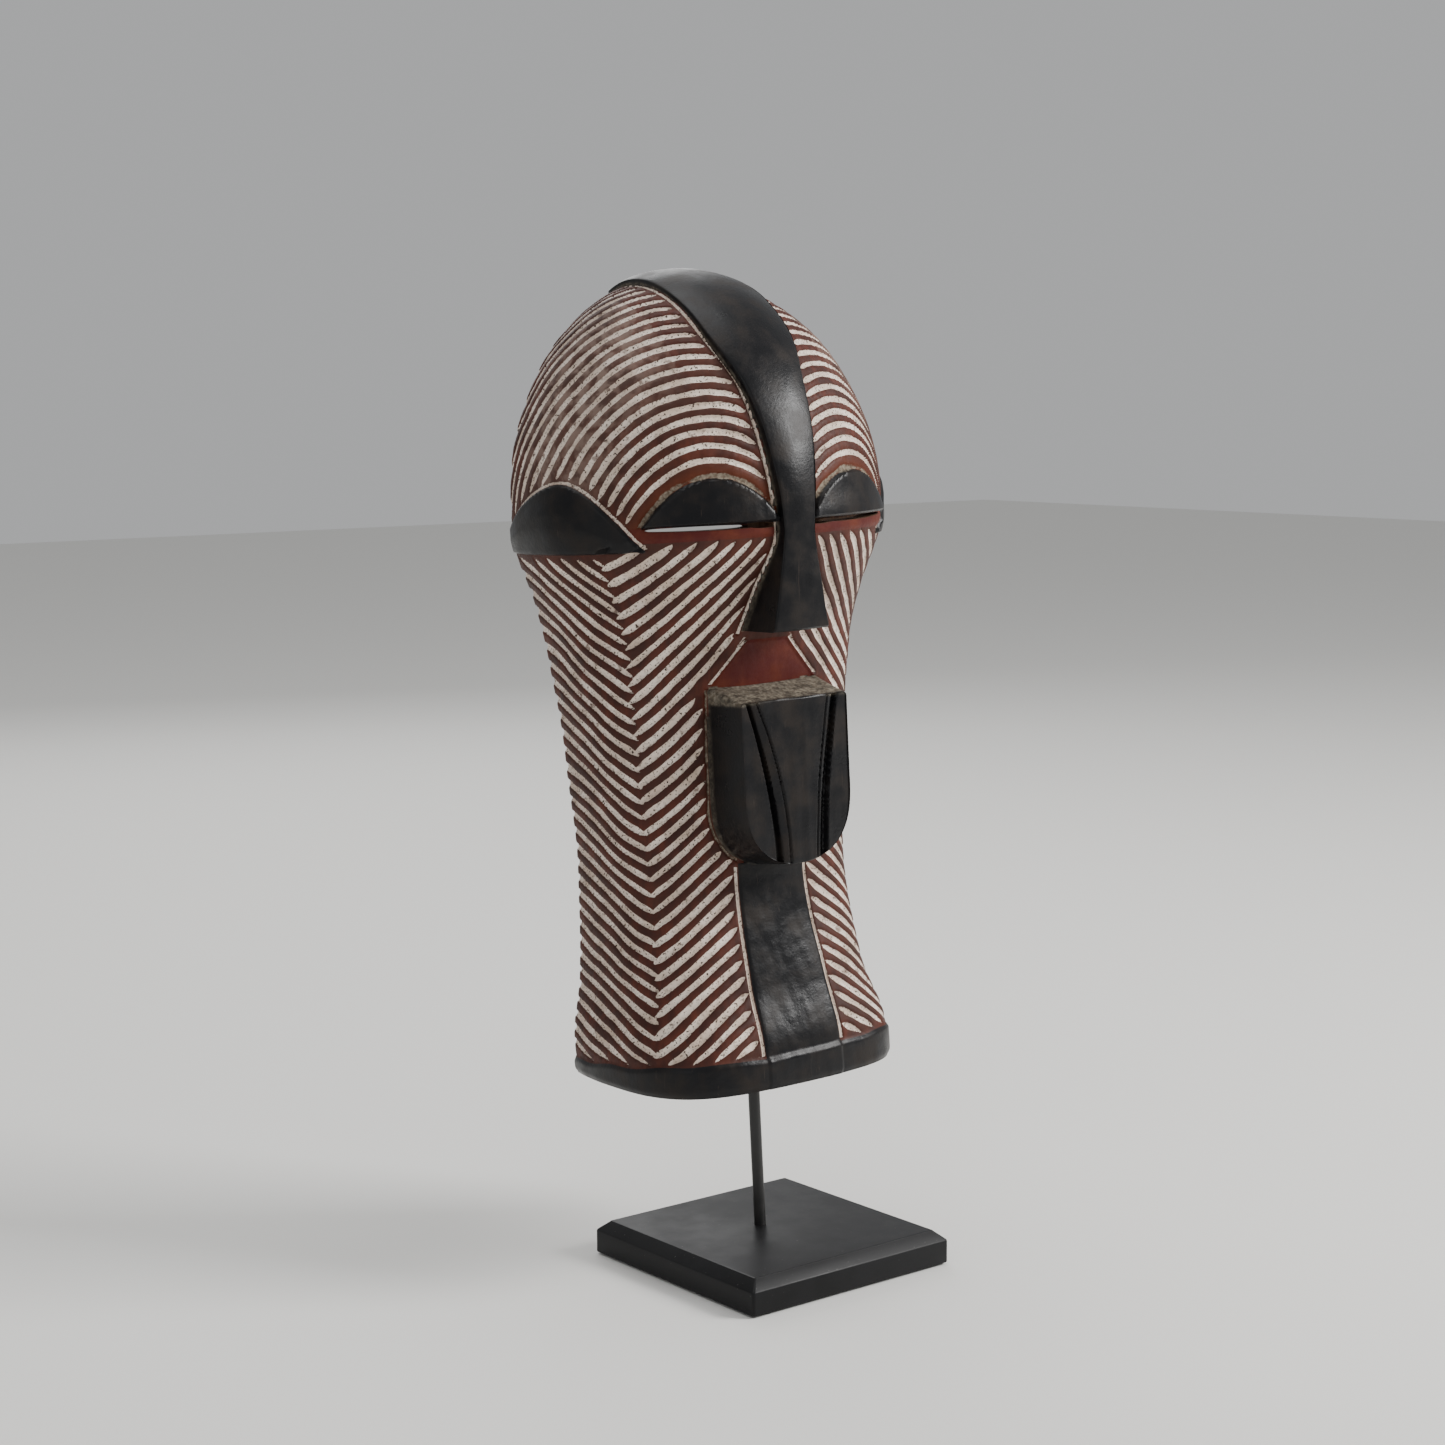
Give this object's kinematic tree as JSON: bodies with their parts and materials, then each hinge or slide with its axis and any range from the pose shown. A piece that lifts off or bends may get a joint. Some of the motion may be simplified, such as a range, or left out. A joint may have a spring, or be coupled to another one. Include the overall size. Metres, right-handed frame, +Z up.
{
  "type": "carved mask on stand",
  "caption": "Hollow carved wooden mask with grooved striping, half-moon eyes, ridge nose and block mouth, held on a thin rod in a bevelled square base.",
  "frame": {"origin": "centre of the underside of the square base, on the surface it stands on", "axes": "+Z up, -Y the way the mask faces, +X to the right of someone facing the mask"},
  "size_m": [0.199, 0.1458, 0.51],
  "materials": {
    "carved_wood": "stained and waxed, with white kaolin in the grooves",
    "black_board": "satin black paint",
    "felt": "matt felt",
    "zinc_steel": "zinc plated",
    "black_steel": "satin black paint",
    "batten_wood": "planed, unpainted",
    "cap_rubber": "matt"
  },
  "bodies": {
    "stand_base": {"base_plate": "black_board", "felt_pad": "felt", "tee_nut": "zinc_steel"},
    "upright": {"support_rod": "black_steel", "cross_bar": "black_steel", "bar_cap_left": "cap_rubber", "bar_cap_right": "cap_rubber", "rod_cap": "cap_rubber"},
    "mask": {"mask_shell": "carved_wood", "inner_batten": "batten_wood"}
  },
  "joints": [
    {"name": "rod_swivel", "type": "hinge", "parent": "stand_base", "child": "upright", "pos_m": [-0.003, 0.005, 0.018], "axis": [-0.026, 0.0363, 0.999], "range_deg": [-180, 180]},
    {"name": "mask_lift", "type": "slide", "parent": "upright", "child": "mask", "axis": [-0.026, 0.0363, 0.999], "range_m": [0, 0.4]}
  ]
}
